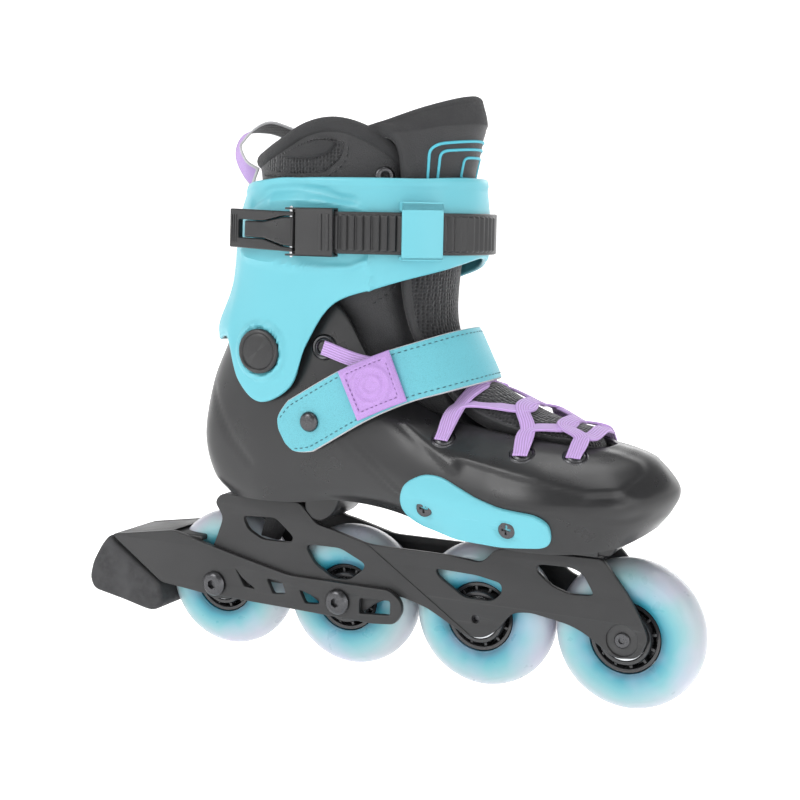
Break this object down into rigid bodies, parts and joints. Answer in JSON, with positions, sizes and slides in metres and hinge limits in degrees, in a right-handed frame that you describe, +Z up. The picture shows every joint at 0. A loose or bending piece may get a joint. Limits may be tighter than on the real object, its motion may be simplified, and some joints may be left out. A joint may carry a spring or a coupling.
{
  "type": "inline skate",
  "caption": "Right-foot inline skate: plastic boot with hinged cuff, ratchet buckle, power strap and laces on a row of spoked wheels, with a heel brake.",
  "frame": {"origin": "on the ground under the rear axle, midway across the wheels", "axes": "+X to the toe, +Y to the inner (medial) side of the foot, +Z up"},
  "size_m": [0.3546, 0.1063, 0.2988],
  "materials": {
    "tyre_urethane": "translucent, pearly, smooth",
    "hub_plastic": "gloss",
    "bright_steel": "bright",
    "dark_steel": "blackened, satin",
    "aqua_plastic": "satin moulded",
    "black_plastic": "satin moulded",
    "frame_metal": "satin powder coat",
    "brake_rubber": "matt",
    "padded_fabric": "synthetic leather and mesh",
    "footbed_felt": "felted",
    "aqua_strap": "coated webbing",
    "lilac_webbing": "woven",
    "lilac_lace": "woven",
    "lilac_badge": "padded, stitched"
  },
  "bodies": {
    "chassis": {"boot_shell": "black_plastic", "slider_lateral": "aqua_plastic", "slider_screw_lateral_1": "dark_steel", "slider_screw_lateral_2": "dark_steel", "slider_medial": "aqua_plastic", "slider_screw_medial_1": "dark_steel", "slider_screw_medial_2": "dark_steel", "frame": "frame_metal", "rear_mounting_bolt": "dark_steel", "front_mounting_bolt": "dark_steel", "axle_1": "dark_steel", "spacer_1": "bright_steel", "axle_2": "dark_steel", "spacer_2": "bright_steel", "axle_3": "dark_steel", "spacer_3": "bright_steel", "axle_4": "dark_steel", "spacer_4": "bright_steel", "brake_bracket": "black_plastic", "brake_pad": "brake_rubber", "brake_pad_screw": "dark_steel", "liner": "padded_fabric", "footbed": "footbed_felt", "tongue": "padded_fabric", "power_strap": "aqua_strap", "strap_rivet_lateral": "dark_steel", "strap_rivet_medial": "dark_steel", "strap_badge": "lilac_badge", "lace": "lilac_lace", "cuff_pivot_lateral": "black_plastic", "cuff_pivot_medial": "black_plastic"},
    "wheel_1": {"tyre_1": "tyre_urethane", "hub_1": "hub_plastic", "bearing_1_lateral": "bright_steel", "bearing_1_medial": "bright_steel"},
    "wheel_2": {"tyre_2": "tyre_urethane", "hub_2": "hub_plastic", "bearing_2_lateral": "bright_steel", "bearing_2_medial": "bright_steel"},
    "wheel_3": {"tyre_3": "tyre_urethane", "hub_3": "hub_plastic", "bearing_3_lateral": "bright_steel", "bearing_3_medial": "bright_steel"},
    "wheel_4": {"tyre_4": "tyre_urethane", "hub_4": "hub_plastic", "bearing_4_lateral": "bright_steel", "bearing_4_medial": "bright_steel"},
    "cuff": {"cuff": "aqua_plastic", "ladder_strap": "black_plastic", "strap_anchor_screw": "dark_steel", "buckle_housing": "black_plastic", "buckle_pin": "bright_steel", "pull_loop": "lilac_webbing"},
    "buckle_lever": {"buckle_lever": "black_plastic"},
    "release_catch": {"release_catch": "black_plastic"}
  },
  "joints": [
    {"name": "wheel_1_spin", "type": "hinge", "parent": "chassis", "child": "wheel_1", "pos_m": [0, 0, 0.038], "axis": [0, 1, 0], "continuous": true},
    {"name": "wheel_2_spin", "type": "hinge", "parent": "chassis", "child": "wheel_2", "pos_m": [0.077, 0, 0.038], "axis": [0, 1, 0], "continuous": true},
    {"name": "wheel_3_spin", "type": "hinge", "parent": "chassis", "child": "wheel_3", "pos_m": [0.154, 0, 0.038], "axis": [0, 1, 0], "continuous": true},
    {"name": "wheel_4_spin", "type": "hinge", "parent": "chassis", "child": "wheel_4", "pos_m": [0.231, 0, 0.038], "axis": [0, 1, 0], "continuous": true},
    {"name": "cuff_tilt", "type": "hinge", "parent": "chassis", "child": "cuff", "pos_m": [0.0415, 0, 0.171], "axis": [0, 1, 0], "range_deg": [-1, 9], "deforming": ["liner", "tongue"]},
    {"name": "buckle_lever_swing", "type": "hinge", "parent": "cuff", "child": "buckle_lever", "pos_m": [0.06542, -0.0523, 0.2326], "axis": [0, 0, 1], "range_deg": [0, 100]},
    {"name": "release_catch_lift", "type": "hinge", "parent": "cuff", "child": "release_catch", "pos_m": [0.06542, -0.0523, 0.2326], "axis": [0, 0, 1], "range_deg": [0, 18], "stiffness_Nm_per_rad": 0.02, "springref_deg": -5.73}
  ]
}
